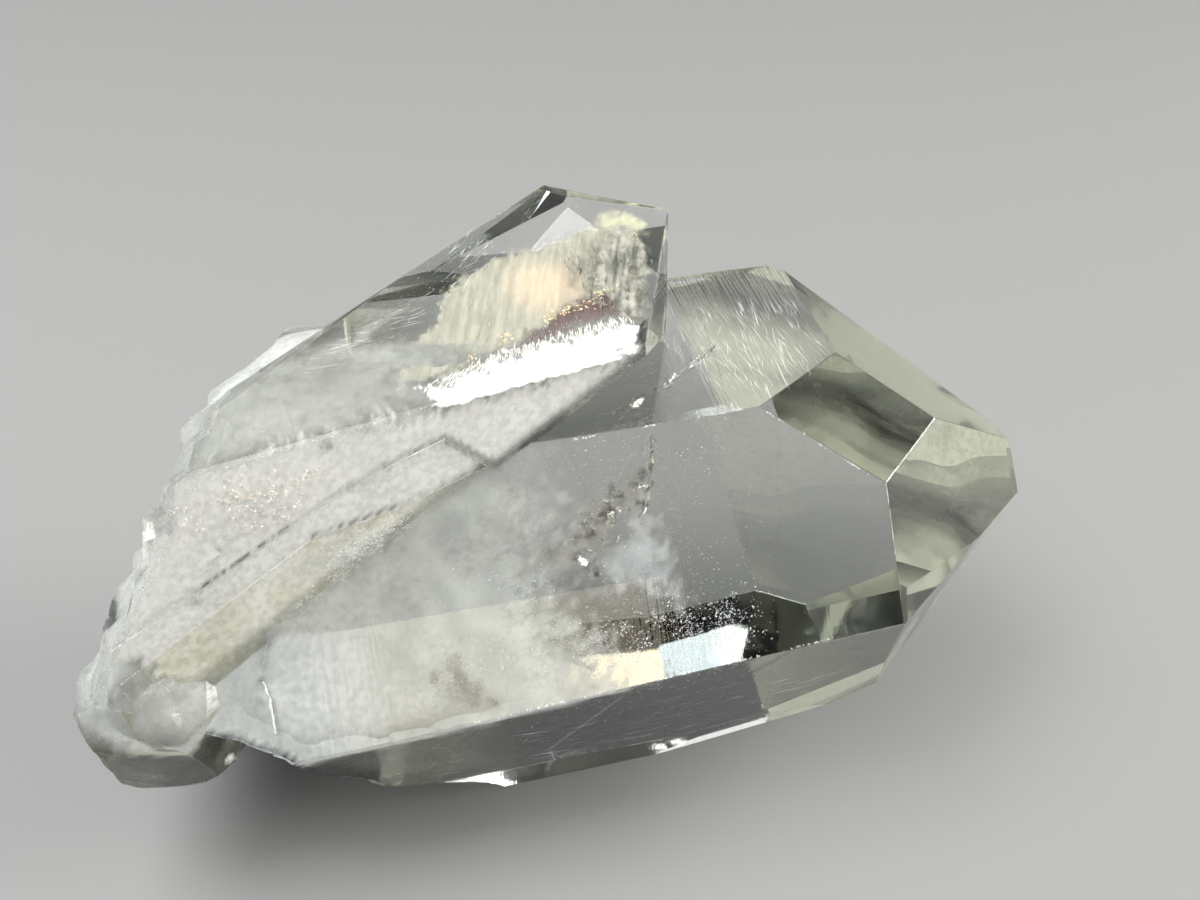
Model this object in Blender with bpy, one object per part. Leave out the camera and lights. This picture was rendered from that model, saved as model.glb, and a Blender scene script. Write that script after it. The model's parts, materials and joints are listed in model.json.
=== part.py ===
"""A quartz specimen: two quartz points grown together, broken off at the base, lying on one prism face.

The large crystal lies almost level. Its lowest prism face lifts a little towards the tip, so it rests on a
flat under its thick end. The second crystal leaves the same base at a steeper angle and is joined to it.
Each crystal is the space inside a set of flat faces. A face is given by its turn about the crystal's long
axis, its slope, which is the angle between its normal and that axis, and its reach, which is its distance
from the crystal's centre. Sizes are in millimetres until a mesh is made.
"""

import math
import random

import bmesh
import bpy
from mathutils import Matrix, Vector, noise

MM = 0.001

# The large crystal: where its centre is, which way its long axis points, and its faces
LARGE_CENTRE = (0.9, -2.5, 12.4)
LARGE_HEADING = 12.3
LARGE_RISE = 2.6
LARGE_SPIN = -120.4
LARGE_FACES = {
    "front": (0.5, 88.7, 13.2),
    "front_low": (59.6, 87.2, 13.3),
    "front_low_strip": (64.2, 84.6, 13.76),
    "resting": (120.1, 85.6, 12.56),
    "back_low": (178.9, 88.4, 13.18),
    "back_high": (-120.0, 88.7, 13.3),
    "top": (-60.1, 89.0, 12.3),
    "tip_front": (0.8, 50.9, 18.7),
    "tip_end": (0.1, 44.5, 20.43),
    "tip_front_low": (58.9, 51.0, 18.6),
    "tip_under": (120.3, 51.5, 16.46),
    "tip_back_low": (-172.7, 46.4, 14.8),
    "tip_back_high": (-121.1, 45.0, 17.8),
    "tip_top": (-59.6, 53.3, 17.5),
    "rhombus": (-28.7, 67.6, 16.2),
}

# The second crystal, in the same terms
SMALL_CENTRE = (-3.9, -4.7, 29.0)
SMALL_HEADING = 29.6
SMALL_RISE = 23.8
SMALL_SPIN = -97.8
SMALL_FACES = {
    "front": (3.4, 91.1, 6.25),
    "underside": (58.5, 88.2, 6.1),
    "back_low": (120.0, 89.0, 6.6),
    "back": (178.0, 88.5, 9.5),
    "back_high": (-120.2, 89.5, 5.55),
    "upper": (-69.1, 68.8, 1.0),
    "upper_left": (-102.1, 83.1, 4.5),
    "tip_end": (30.4, 41.5, 6.85),
    "tip_back_high": (-151.1, 40.2, 9.6),
    "tip_back_low": (124.9, 58.7, 9.1),
}

BLOCK = 120.0
BURIED_LENGTH = 32.0
REST_HEIGHT = 0.0

# Growth ledges. Each is a patch of one face lowered by a growth step: the face, the patch's corners along and
# across that face, and the depth of the step at the patch's buried end and at its tip end
SMALL_LEDGES = (
    ("front", ((-34, 1.6), (-18, 1.3), (-13, 1.1), (-8.8, 0.3), (-8, -1.5), (-6, -6), (-34, -9)), 0.05, 0.18),
    ("front", ((-30, -0.6), (-17.6, -0.1), (-12.8, -1.8), (-7.6, -2.9), (-6, -7), (-30, -9)), 0.10, 0.30),
    ("upper", ((-30, 3.4), (-17, 4.2), (-11.5, 3.2), (-7, 4.8), (-6, 9), (-30, 9)), 0.30, 0.18),
)
LARGE_LEDGES = (
    ("top", ((-34, -12), (4.2, -12), (5.6, -4.8), (6.4, 3), (7.2, 12), (-34, 12)), 0.12, 0.12),
    ("back_high", ((-6, -12), (0.5, -3), (9.0, 1.5), (11.5, 12), (-34, 12), (-34, -12)), 0.35, 0.16),
    ("back_low", ((-34, -12), (-4, -12), (-1.5, -2), (-6.5, 4), (-5, 12), (-34, 12)), 0.40, 0.22),
    (
        "front",
        ((-34, -12), (-23.5, -12), (-22.6, -7.5), (-23.2, -5), (-22, -1.6), (-23, 4), (-34, 4)),
        0.40,
        0.22,
    ),
)
LEDGE_CLEARANCE = 2.0

# Broken surfaces: a point on each, its outward normal, and half the width of the slab that cuts it
BREAK_POINT = (-23.6, -7.0, 19.8)
BREAK_NORMAL = (-0.90, 0.045, 0.433)
BREAK_SPREAD = 30.0
BACK_BREAK_POINT = (-15.5, 5.5, 24.0)
BACK_BREAK_NORMAL = (-0.76, 0.48, 0.44)
BACK_BREAK_SPREAD = 26.0
UNDERCUT_POINT = (-16.0, -10.0, 3.5)
UNDERCUT_NORMAL = (-0.40, -0.45, -0.80)
UNDERCUT_SPREAD = 30.0
CUTTER_THICKNESS = 40.0

# How quartz breaks: shallow shell-like scoops that meet in ridges, each ringed by fine ripples
CELL = 1.0
SCOOP_PITCH = 7.5
SCOOP_RADIUS = 13.0
RIPPLE = 0.07
RIPPLE_PITCH = 1.9
ROUGHNESS = 0.22
ROUGHNESS_SCALE = 0.45
OCTAVES = 3
PLATE_WIDTH = 2.6
PLATE_STEP = 0.5

# The knob of broken quartz left hanging from the base, and the shell-like hollow broken out of its front
KNOB_CENTRE = (-24.2, -18.5, 12.1)
KNOB_RADII = (4.5, 5.2, 6.0)
KNOB_ROUGHNESS = 0.16
KNOB_ROUGHNESS_SCALE = 1.7
KNOB_NOISE_OFFSET = (3.0, 5.0, 1.0)
KNOB_FACE_POINT = (-24.7, -21.5, 8.9)
KNOB_FACE_NORMAL = (0.05, -0.86, -0.50)


def direction(turn, slope):
    """The unit vector at this turn about Z and this angle from Z, both in degrees."""
    turn, slope = math.radians(turn), math.radians(slope)
    return Vector((math.sin(slope) * math.cos(turn), math.sin(slope) * math.sin(turn), math.cos(slope)))


def clear_scene():
    for obj in list(bpy.data.objects):
        bpy.data.objects.remove(obj, do_unlink=True)


def add_object(name, bm, cutter=False):
    """Turns a bmesh in millimetres into an object in metres."""
    bmesh.ops.scale(bm, vec=(MM, MM, MM), verts=bm.verts)
    bmesh.ops.recalc_face_normals(bm, faces=bm.faces)
    mesh = bpy.data.meshes.new(name)
    bm.to_mesh(mesh)
    bm.free()
    obj = bpy.data.objects.new(name, mesh)
    bpy.context.scene.collection.objects.link(obj)
    if cutter:
        obj.hide_render = True
        obj.display_type = "WIRE"
    return obj


def cut_flat(bm, point, normal, tolerance=1e-5):
    """Removes what lies outside a plane and closes the cut with one flat face."""
    parts = list(bm.verts) + list(bm.edges) + list(bm.faces)
    cut = bmesh.ops.bisect_plane(
        bm, geom=parts, dist=tolerance, plane_co=point, plane_no=normal, clear_outer=True
    )
    edges = [piece for piece in cut["geom_cut"] if isinstance(piece, bmesh.types.BMEdge)]
    if edges:
        bmesh.ops.contextual_create(bm, geom=edges)


def placement(centre, heading, rise, spin):
    """Turns a crystal that stands on Z so that its long axis takes this heading and rise."""
    turn = Matrix.Rotation(math.radians(heading), 4, "Z")
    lean = Matrix.Rotation(math.radians(90.0 - rise), 4, "Y")
    return Matrix.Translation(centre) @ turn @ lean @ Matrix.Rotation(math.radians(spin), 4, "Z")


def crystal(name, faces, place):
    """A crystal cut from a block by its faces, with its buried end cut off square."""
    bm = bmesh.new()
    bmesh.ops.create_cube(bm, size=BLOCK)
    for turn, slope, reach in faces.values():
        normal = direction(turn, slope)
        cut_flat(bm, normal * reach, normal)
    cut_flat(bm, Vector((0.0, 0.0, -BURIED_LENGTH)), Vector((0.0, 0.0, -1.0)))
    bmesh.ops.transform(bm, matrix=place, verts=bm.verts)
    return add_object(name, bm)


def ledge_cutter(name, face, corners, depth_buried, depth_tip, place):
    """A slab that lowers one patch of a face by a growth step, deeper towards one end of the patch."""
    turn, slope, reach = face
    on_face = place @ (direction(turn, slope) * reach)
    normal = (place.to_3x3() @ direction(turn, slope)).normalized()
    axis = place.to_3x3() @ Vector((0.0, 0.0, 1.0))
    along = (axis - normal * axis.dot(normal)).normalized()
    across = normal.cross(along)
    first = min(corner[0] for corner in corners)
    last = max(corner[0] for corner in corners)
    bm = bmesh.new()
    inner, outer = [], []
    for a, b in corners:
        share = (a - first) / (last - first)
        depth = depth_buried + (depth_tip - depth_buried) * share
        spot = on_face + along * a + across * b
        inner.append(bm.verts.new(spot - normal * depth))
        outer.append(bm.verts.new(spot + normal * LEDGE_CLEARANCE))
    bm.faces.new(inner)
    bm.faces.new(reversed(outer))
    for i in range(len(inner)):
        j = (i + 1) % len(inner)
        bm.faces.new((inner[i], outer[i], outer[j], inner[j]))
    return add_object(name, bm, cutter=True)


def scoop_centres(half_size, seed):
    """Where each scoop was struck: one at random in each square of a coarse grid."""
    rng = random.Random(seed)
    count = math.ceil(half_size / SCOOP_PITCH)
    steps = range(-count, count)
    squares = [(i, j) for i in steps for j in steps]
    return [((i + rng.random()) * SCOOP_PITCH, (j + rng.random()) * SCOOP_PITCH) for i, j in squares]


def fracture_height(a, b, spot, centres, plate_step):
    """How far the broken surface stands out at this place."""
    distance = min(math.hypot(a - x, b - y) for x, y in centres)
    scoop = distance ** 2 / (2 * SCOOP_RADIUS)
    ripple = math.sin(distance * math.tau / RIPPLE_PITCH) * RIPPLE
    rough = noise.fractal(spot * ROUGHNESS_SCALE, 1.0, 2.0, OCTAVES) * ROUGHNESS
    plate = a / PLATE_WIDTH + rough
    step = (math.floor(plate) - plate + 0.5) * plate_step
    return scoop + ripple + rough + step


def fracture_cutter(name, point, normal, half_size, seed, plate_step=0.0):
    """A thick slab whose inner side is a broken surface."""
    point, normal = Vector(point), Vector(normal).normalized()
    side = normal.orthogonal().normalized()
    up = normal.cross(side)
    count = round(2 * half_size / CELL)
    centres = scoop_centres(half_size, seed)
    bm = bmesh.new()
    rows = []
    for i in range(count + 1):
        row = []
        for j in range(count + 1):
            a = i * CELL - half_size
            b = j * CELL - half_size
            spot = point + side * a + up * b
            height = fracture_height(a, b, spot, centres, plate_step)
            row.append(bm.verts.new(spot + normal * height))
        rows.append(row)
    for i in range(count):
        for j in range(count):
            bm.faces.new((rows[i][j], rows[i + 1][j], rows[i + 1][j + 1], rows[i][j + 1]))
    top = bmesh.ops.extrude_face_region(bm, geom=list(bm.faces))
    moved = [piece for piece in top["geom"] if isinstance(piece, bmesh.types.BMVert)]
    bmesh.ops.translate(bm, vec=normal * CUTTER_THICKNESS, verts=moved)
    bmesh.ops.triangulate(bm, faces=bm.faces)
    return add_object(name, bm, cutter=True)


def knob():
    """The uneven knob of broken quartz, with one broad broken face."""
    bm = bmesh.new()
    bmesh.ops.create_icosphere(bm, subdivisions=3, radius=1.0)
    for vert in bm.verts:
        spot = vert.co * KNOB_ROUGHNESS_SCALE + Vector(KNOB_NOISE_OFFSET)
        bump = 1.0 + noise.fractal(spot, 1.0, 2.0, OCTAVES) * KNOB_ROUGHNESS
        vert.co = Vector([vert.co[k] * KNOB_RADII[k] * bump + KNOB_CENTRE[k] for k in range(3)])
    cut_flat(bm, Vector(KNOB_FACE_POINT), Vector(KNOB_FACE_NORMAL).normalized())
    return add_object("knob_form", bm)


def apply_boolean(target, other, operation):
    """Joins or cuts with the exact solver, and removes the other object."""
    modifier = target.modifiers.new(operation.lower(), "BOOLEAN")
    modifier.operation = operation
    modifier.solver = "EXACT"
    modifier.object = other
    depsgraph = bpy.context.evaluated_depsgraph_get()
    mesh = bpy.data.meshes.new_from_object(target.evaluated_get(depsgraph))
    target.modifiers.remove(modifier)
    target.data = mesh
    bpy.data.objects.remove(other, do_unlink=True)


def rest_flat(obj):
    """Cuts the solid off level at the surface it lies on, then centres its box over the origin."""
    bm = bmesh.new()
    bm.from_mesh(obj.data)
    cut_flat(bm, Vector((0.0, 0.0, REST_HEIGHT)), Vector((0.0, 0.0, -1.0)), tolerance=1e-8)
    xs = [vert.co.x for vert in bm.verts]
    ys = [vert.co.y for vert in bm.verts]
    shift = Vector((-(min(xs) + max(xs)) / 2, -(min(ys) + max(ys)) / 2, 0.0))
    bmesh.ops.translate(bm, vec=shift, verts=bm.verts)
    bmesh.ops.recalc_face_normals(bm, faces=bm.faces)
    bm.to_mesh(obj.data)
    bm.free()
    return shift


def quartz_material():
    material = bpy.data.materials.new("clear_quartz")
    material.use_nodes = True
    shader = material.node_tree.nodes["Principled BSDF"]
    shader.inputs["Base Color"].default_value = (0.93, 0.94, 0.92, 1.0)
    shader.inputs["Roughness"].default_value = 0.04
    shader.inputs["Metallic"].default_value = 0.0
    shader.inputs["IOR"].default_value = 1.544
    shader.inputs["Transmission Weight"].default_value = 0.85
    return material


def add_ledges(obj, ledges, faces, place):
    for face, corners, depth_buried, depth_tip in ledges:
        cutter = ledge_cutter("ledge", faces[face], corners, depth_buried, depth_tip, place)
        apply_boolean(obj, cutter, "DIFFERENCE")


def build():
    clear_scene()
    large_place = placement(LARGE_CENTRE, LARGE_HEADING, LARGE_RISE, LARGE_SPIN)
    small_place = placement(SMALL_CENTRE, SMALL_HEADING, SMALL_RISE, SMALL_SPIN)
    solid = crystal("quartz_crystal", LARGE_FACES, large_place)
    add_ledges(solid, LARGE_LEDGES, LARGE_FACES, large_place)
    second = crystal("second_form", SMALL_FACES, small_place)
    add_ledges(second, SMALL_LEDGES, SMALL_FACES, small_place)
    apply_boolean(solid, second, "UNION")
    undercut = fracture_cutter("undercut", UNDERCUT_POINT, UNDERCUT_NORMAL, UNDERCUT_SPREAD, 2)
    apply_boolean(solid, undercut, "DIFFERENCE")
    back_break = fracture_cutter("back_break", BACK_BREAK_POINT, BACK_BREAK_NORMAL, BACK_BREAK_SPREAD, 5)
    apply_boolean(solid, back_break, "DIFFERENCE")
    apply_boolean(solid, knob(), "UNION")
    break_end = fracture_cutter("break_end", BREAK_POINT, BREAK_NORMAL, BREAK_SPREAD, 7, PLATE_STEP)
    apply_boolean(solid, break_end, "DIFFERENCE")
    shift = rest_flat(solid)
    solid.data.materials.clear()
    solid.data.materials.append(quartz_material())
    print("moved by", [round(value / MM, 3) for value in shift])


build()
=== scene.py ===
# %% [markdown]
# # A quartz specimen: two clear points grown together
#
# This notebook dresses a solid model of a quartz specimen until it looks like the real mineral. The solid gives
# the size and the flat faces. What it lacks is what a collector looks at: glass-like clarity near the tips, a
# milky base, healed cracks, glints, growth lines on the faces and a broken, iron-stained end, with painted shade
# on the knob's lower faces.

# %% Load the solid model
import json
import math
import random

import bmesh
import bpy
from mathutils import Matrix, Vector, noise
from mathutils.bvhtree import BVHTree

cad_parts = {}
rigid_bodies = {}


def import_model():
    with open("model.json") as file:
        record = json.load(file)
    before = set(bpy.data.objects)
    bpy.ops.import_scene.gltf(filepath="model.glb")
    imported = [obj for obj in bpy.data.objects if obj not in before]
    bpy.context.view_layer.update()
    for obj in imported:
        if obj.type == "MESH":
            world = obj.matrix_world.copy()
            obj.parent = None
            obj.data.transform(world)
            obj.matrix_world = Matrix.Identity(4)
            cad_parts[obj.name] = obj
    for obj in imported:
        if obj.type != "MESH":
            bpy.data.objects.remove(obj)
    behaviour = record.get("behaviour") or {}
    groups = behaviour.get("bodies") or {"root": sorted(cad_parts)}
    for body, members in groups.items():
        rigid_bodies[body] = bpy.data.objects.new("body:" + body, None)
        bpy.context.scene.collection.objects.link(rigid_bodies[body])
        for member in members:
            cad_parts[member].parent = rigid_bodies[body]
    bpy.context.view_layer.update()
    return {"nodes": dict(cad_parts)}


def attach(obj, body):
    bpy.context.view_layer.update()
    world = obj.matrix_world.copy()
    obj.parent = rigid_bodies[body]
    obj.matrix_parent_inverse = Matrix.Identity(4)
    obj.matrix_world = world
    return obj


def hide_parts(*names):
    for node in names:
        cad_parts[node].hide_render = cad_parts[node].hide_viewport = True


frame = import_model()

MM = 0.001

# %% [markdown]
# ## Camera
#
# Macro pictures are taken from very near, so the perspective is strong. The camera stands 33.5 degrees above the
# table and looks level with the long axis of the stone. A near lens needs a short clip distance, or Blender cuts
# away everything closer than ten centimetres.

# %% Place the camera
CAMERA_PLACE = Vector((1.998, -89.301, 78.58)) * MM
CAMERA_TILT = 33.5

camera_data = bpy.data.cameras.new("macro_camera")
camera_data.sensor_width = 36.0
camera_data.lens = 54.0
camera_data.clip_start = 0.005
camera = bpy.data.objects.new("macro_camera", camera_data)
bpy.context.scene.collection.objects.link(camera)
camera.location = CAMERA_PLACE
camera.rotation_euler = (math.radians(90.0 - CAMERA_TILT), 0.0, 0.0)
bpy.context.scene.camera = camera
print("camera at", tuple(round(v / MM, 1) for v in camera.location), "mm")

# %% [markdown]
# ## A few habits
#
# Most operators act on whatever is selected, so every step first selects just the piece that it is about.
# Modifiers are applied as soon as they are set, and a piece's place is moved into its mesh, so that each finished
# piece sits at the origin as the solid does. Numbers that a material should read, such as how cloudy a point is,
# are stored on the mesh. The last helper gives a piece its material and ties it to the stone.

# %% Helpers for objects


def only(*objects):
    """Selects just these objects and makes the first one active."""
    bpy.ops.object.select_all(action="DESELECT")
    for obj in objects:
        obj.select_set(True)
    bpy.context.view_layer.objects.active = objects[0]


def apply_modifiers(obj):
    only(obj)
    for modifier in list(obj.modifiers):
        bpy.ops.object.modifier_apply(modifier=modifier.name)


def bake_place(obj):
    """Moves the object's place, turn and size into its mesh, so that the object sits at the origin."""
    only(obj)
    bpy.ops.object.transform_apply(location=True, rotation=True, scale=True)


def store(piece, name, values, domain="POINT"):
    """Stores one number for each point or face of a piece, for its material to read."""
    piece.data.attributes.new(name, "FLOAT", domain).data.foreach_set("value", values)


def carry(piece, material):
    """Gives a finished piece its material and lets it ride with the stone."""
    piece.data.materials.clear()
    piece.data.materials.append(material)
    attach(piece, "root")
    print(piece.name, len(piece.data.polygons), "faces")
    return piece


# %% [markdown]
# ## Studio
#
# The stone lies on a plain, pale floor. Clear quartz has no colour of its own and shows what it bends and mirrors,
# so the lamps are part of its look. Wide, soft panels light the milky base from above and from the tip's side.
# Two small panels in front, one warm and one cool, are what the long lower face mirrors as a glow. Light needs
# many bounces to find its way out of the stone, so the bounce limits are high. The bright spots that glass
# throws on a floor are left out, because they cost much time.

# %% Floor
FLOOR_GAP = 0.05 * MM
FLOOR_SIZE, FLOOR_TONE = 1.6, (0.20, 0.20, 0.197, 1.0)
bpy.ops.mesh.primitive_plane_add(size=FLOOR_SIZE, location=(0.0, 0.0, -FLOOR_GAP))
floor = bpy.context.active_object
floor.name = floor.data.name = "studio_floor"
floor_paint = bpy.data.materials.new("pale_floor")
floor_paint.use_nodes = True
shader = floor_paint.node_tree.nodes["Principled BSDF"]
shader.inputs["Base Color"].default_value = FLOOR_TONE
shader.inputs["Roughness"].default_value = 0.9
floor.data.materials.append(floor_paint)
print("floor", FLOOR_SIZE, "m wide")

# %% Lights
STONE_MIDDLE = Vector((0.0, 0.0, 14.0)) * MM


def panel(name, azimuth, elevation, distance, width, height, watts, colour=(1.0, 1.0, 1.0)):
    """A soft area light that faces the stone from this compass angle and height."""
    turn, rise = math.radians(azimuth), math.radians(elevation)
    away = Vector((math.sin(turn) * math.cos(rise), -math.cos(turn) * math.cos(rise), math.sin(rise)))
    data = bpy.data.lights.new(name, "AREA")
    data.shape = "RECTANGLE"
    data.size, data.size_y = width, height
    data.energy = watts
    data.color = colour
    lamp = bpy.data.objects.new(name, data)
    bpy.context.scene.collection.objects.link(lamp)
    lamp.location = away * distance + STONE_MIDDLE
    lamp.rotation_euler = away.to_track_quat("Z", "Y").to_euler()
    lamp.visible_camera = False
    print(name, watts, "W")


panel("key_panel", -32.0, 56.0, 0.45, 0.25, 0.25, 1.6)
panel("left_panel", -83.0, 64.0, 0.40, 0.30, 0.24, 3.6)
panel("right_panel", 95.0, 15.0, 0.40, 0.24, 0.18, 4.0, (1.0, 0.98, 0.92))
panel("window_panel", -112.0, 15.0, 0.40, 0.42, 0.16, 0.22, (0.72, 0.86, 1.0))
panel("warm_front_panel", 18.0, 16.0, 0.40, 0.09, 0.07, 0.065, (1.0, 0.86, 0.66))
panel("cool_front_panel", 5.0, 16.0, 0.40, 0.10, 0.07, 0.058, (0.82, 0.90, 1.0))
panel("back_panel", 180.0, 34.0, 0.50, 0.34, 0.10, 0.20)
world = bpy.data.worlds.new("studio")
bpy.context.scene.world = world
world.use_nodes = True
world.node_tree.nodes["Background"].inputs["Color"].default_value = (0.10, 0.103, 0.106, 1.0)
world.node_tree.nodes["Background"].inputs["Strength"].default_value = 1.0

# %% Light paths
cycles = bpy.context.scene.cycles
cycles.caustics_reflective = cycles.caustics_refractive = False
cycles.transparent_max_bounces = 24
cycles.max_bounces = cycles.transmission_bounces = 12
cycles.glossy_bounces = 9
cycles.diffuse_bounces = 2
cycles.adaptive_threshold = 0.12
print("light may bounce", cycles.max_bounces, "times")

# %% [markdown]
# ## Plain colour
#
# Blender's own view transform rolls bright tones off softly, as film does. A milky stone on a pale floor is bright
# all over and would come out flat and grey, so the plain transform is used, with the exposure a little lower.

# %% View transform
bpy.context.scene.view_settings.view_transform = "Standard"
bpy.context.scene.view_settings.exposure = -0.3
print("view transform:", bpy.context.scene.view_settings.view_transform)

# %% [markdown]
# ## Where the crystal faces are
#
# A quartz crystal is the space inside a few flat faces, and each face is known by three numbers: its turn about
# the long axis, its slope from that axis, and its reach from the crystal's centre. With them, a spot on a face, or
# a spot a few millimetres below it, can be named in the face's own directions. The inclusions below are placed so.

# %% Faces and spots


def direction(turn, slope):
    """The unit vector at this turn about Z and this angle from Z, both in degrees."""
    turn, slope = math.radians(turn), math.radians(slope)
    return Vector((math.sin(slope) * math.cos(turn), math.sin(slope) * math.sin(turn), math.cos(slope)))


def placement(centre, heading, rise, spin):
    """Turns a crystal that stands on Z so that its long axis takes this heading and rise."""
    turn = Matrix.Rotation(math.radians(heading), 4, "Z")
    lean = Matrix.Rotation(math.radians(90.0 - rise), 4, "Y")
    return Matrix.Translation(centre) @ turn @ lean @ Matrix.Rotation(math.radians(spin), 4, "Z")


class Face:
    """One flat crystal face, with its own directions along and across the crystal. Lengths are in millimetres."""

    def __init__(self, place, turn, slope, reach):
        turned = place.to_3x3()
        self.normal = (turned @ direction(turn, slope)).normalized()
        self.origin = place @ (direction(turn, slope) * reach)
        axis = turned @ Vector((0.0, 0.0, 1.0))
        self.along = (axis - self.normal * axis.dot(self.normal)).normalized()
        self.across = self.normal.cross(self.along)

    def spot(self, along, across, depth=0.0):
        return self.origin + self.along * along + self.across * across - self.normal * depth

    def depth(self, spot):
        return (self.origin - spot).dot(self.normal)


LARGE_PLACE = placement((2.898, 2.599, 12.4), 12.3, 2.6, -120.4)
SMALL_PLACE = placement((-1.902, 0.399, 29.0), 29.6, 23.8, -97.8)
LARGE_AXIS = (LARGE_PLACE.to_3x3() @ Vector((0.0, 0.0, 1.0))).normalized()
SMALL_AXIS = (SMALL_PLACE.to_3x3() @ Vector((0.0, 0.0, 1.0))).normalized()
LARGE_FRONT = Face(LARGE_PLACE, 0.5, 88.7, 13.2)
LARGE_FRONT_LOW = Face(LARGE_PLACE, 59.6, 87.2, 13.3)
LARGE_TOP = Face(LARGE_PLACE, -60.1, 89.0, 12.3)
SMALL_FRONT = Face(SMALL_PLACE, 3.4, 91.1, 6.25)
SMALL_UPPER = Face(SMALL_PLACE, -69.1, 68.8, 1.0)
LARGE_INVERSE, SMALL_INVERSE = LARGE_PLACE.inverted(), SMALL_PLACE.inverted()
print("large front faces", [round(v, 2) for v in LARGE_FRONT.normal])

# %% [markdown]
# ## Where the quartz is milky
#
# Milky quartz is clear quartz full of tiny bubbles. There are more of them near the base, where the crystal grew
# fast, so the stone goes from white to glass-clear over a centimetre or so. One function gives the cloudiness of
# any spot, and every cloudy piece asks it, so that the veils, the specks and the white base agree.

# %% Cloudiness


def smooth(low, high, value):
    """0 below low, 1 above high, and an even S-curve between them."""
    t = min(max((value - low) / (high - low), 0.0), 1.0)
    return t * t * (3.0 - 2.0 * t)


def wisps(spot, scale):
    """Slow noise from about -1 to 1."""
    return noise.fractal(spot * scale, 0.8, 2.1, 4)


KNOB_CENTRE = Vector((-22.2, -13.4, 11.0))
KNOB_LOW = Vector((-23.0, -15.8, 8.3))


def milkiness(spot):
    """How cloudy the quartz is at a spot in millimetres, from 0 to 1."""
    drift = wisps(spot, 0.16)
    in_large = 1.0 - smooth(-21.0, -7.0, (LARGE_INVERSE @ spot).z + 3.5 * drift)
    along = (SMALL_INVERSE @ spot).z + 3.0 * drift
    base = 1.0 - smooth(-27.0, -8.0, along)
    skin = (1.0 - smooth(1.5, 4.5, SMALL_FRONT.depth(spot))) * (1.0 - 0.2 * smooth(-8.0, 4.0, along))
    skin *= smooth(-1.2, -0.4, SMALL_FRONT.depth(spot))
    under_top = 1.0 - smooth(2.5, 6.0, SMALL_UPPER.depth(spot))
    share = smooth(-0.8, 0.3, min(LARGE_FRONT.depth(spot), LARGE_TOP.depth(spot)))
    return share * in_large + (1.0 - share) * max(base, skin) * (1.0 - 0.8 * under_top)


def knob_stain_and_shade(spot):
    """Iron stain and painted shade on the lower front of the knob, strongest at its lowest point."""
    return 1.0 - smooth(3.0, 4.6, (spot - KNOB_LOW).length + 0.8 * wisps(spot, 0.5))


print("milkiness near the base", round(milkiness(Vector((-22.0, 0.0, 10.0))), 2))

# %% [markdown]
# ## Shader helpers
#
# All materials here are mixes of the same few ideas: noise read in the stone's own coordinates, a fade stored on
# the mesh as an attribute, and colours blended by a mask. Small helpers keep those node trees readable.

# %% Node helpers


def new_material(name):
    material = bpy.data.materials.new(name)
    material.use_nodes = True
    nodes, links = material.node_tree.nodes, material.node_tree.links
    print("material", name)
    return material, nodes, links, nodes["Principled BSDF"]


def math_node(tree, operation, first, second):
    node = tree.nodes.new("ShaderNodeMath")
    node.operation = operation
    for socket, value in zip(node.inputs, (first, second)):
        if isinstance(value, (int, float)):
            socket.default_value = value
        else:
            tree.links.new(value, socket)
    return node.outputs["Value"]


def blend_colours(tree, mask, first, second):
    """first where the mask is 0 and second where it is 1. Each is a colour or another node's output."""
    node = tree.nodes.new("ShaderNodeMix")
    node.data_type = "RGBA"
    tree.links.new(mask, node.inputs["Factor"])
    for key, value in (("A", first), ("B", second)):
        if isinstance(value, bpy.types.NodeSocket):
            tree.links.new(value, node.inputs[key])
        else:
            node.inputs[key].default_value = (*value, 1.0)
    return node.outputs["Result"]


def attribute_value(tree, name):
    node = tree.nodes.new("ShaderNodeAttribute")
    node.attribute_name = name
    return node.outputs["Fac"]


KINDS = {3: "NodeSocketVector", 4: "NodeSocketColor"}


def new_group(name, inputs, outputs):
    """A node group with these sockets. Each input is a name and a default: a number, or a colour or vector."""
    group = bpy.data.node_groups.new(name, "ShaderNodeTree")
    for title, value in inputs:
        kind = "NodeSocketFloat" if isinstance(value, float) else KINDS[len(value)]
        group.interface.new_socket(title, in_out="INPUT", socket_type=kind).default_value = value
    for title, kind in outputs:
        group.interface.new_socket(title, in_out="OUTPUT", socket_type=kind)
    return group, group.nodes.new("NodeGroupInput").outputs, group.nodes.new("NodeGroupOutput").inputs


def place_group(tree, group, values, output):
    """Puts a group in a material with its own values, by input name, and gives one of its outputs."""
    node = tree.nodes.new("ShaderNodeGroup")
    node.node_tree = group
    for title, value in values.items():
        node.inputs[title].default_value = value
    return node.outputs[output]


def make_cloud_group():
    """Soft noise of a given size in the stone's own coordinates, stretched between low and high."""
    inputs = (("Features per metre", 300.0), ("Detail", 4.0), ("Low", 0.35), ("High", 0.65))
    group, given, made = new_group("cloud_noise", inputs, (("Mask", "NodeSocketFloat"),))
    place = group.nodes.new("ShaderNodeTexCoord")
    noise_node = group.nodes.new("ShaderNodeTexNoise")
    stretch = group.nodes.new("ShaderNodeMapRange")
    group.links.new(place.outputs["Object"], noise_node.inputs["Vector"])
    group.links.new(given["Features per metre"], noise_node.inputs["Scale"])
    group.links.new(given["Detail"], noise_node.inputs["Detail"])
    group.links.new(noise_node.outputs["Fac"], stretch.inputs["Value"])
    group.links.new(given["Low"], stretch.inputs["From Min"])
    group.links.new(given["High"], stretch.inputs["From Max"])
    group.links.new(stretch.outputs["Result"], made["Mask"])
    return group


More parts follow.
